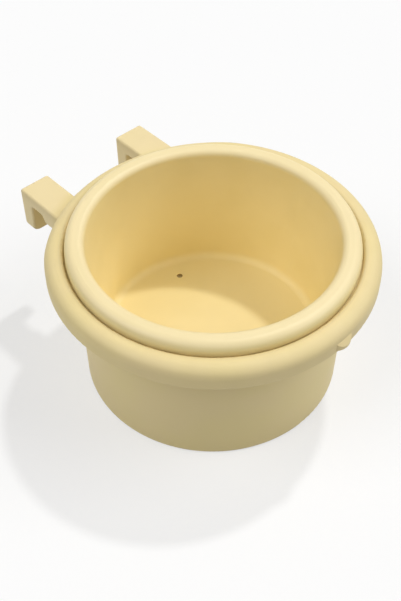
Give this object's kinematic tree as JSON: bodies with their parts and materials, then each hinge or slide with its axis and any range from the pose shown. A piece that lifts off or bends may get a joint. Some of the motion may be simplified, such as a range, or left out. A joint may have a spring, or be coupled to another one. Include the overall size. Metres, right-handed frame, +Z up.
{
  "type": "seed cup",
  "caption": "Round plastic cage cup with a rolled flange, hooks that hang it over a cage wire, and a tapered seed bowl that lifts out of it.",
  "frame": {"origin": "centre of the outer cup's flat base, on the surface it stands on", "axes": "+Z up along the cup's axis, +Y from the axis towards the hooks, +X to the right seen from the front"},
  "size_m": [0.097, 0.1107, 0.0516],
  "materials": {
    "cup_plastic": "satin cream",
    "bowl_plastic": "satin cream"
  },
  "bodies": {
    "outer_cup": {"outer_cup": "cup_plastic"},
    "seed_bowl": {"seed_bowl": "bowl_plastic"}
  },
  "joints": [
    {"name": "bowl_lift", "type": "slide", "parent": "outer_cup", "child": "seed_bowl", "axis": [0, 0, 1], "range_m": [0, 0.05]}
  ]
}
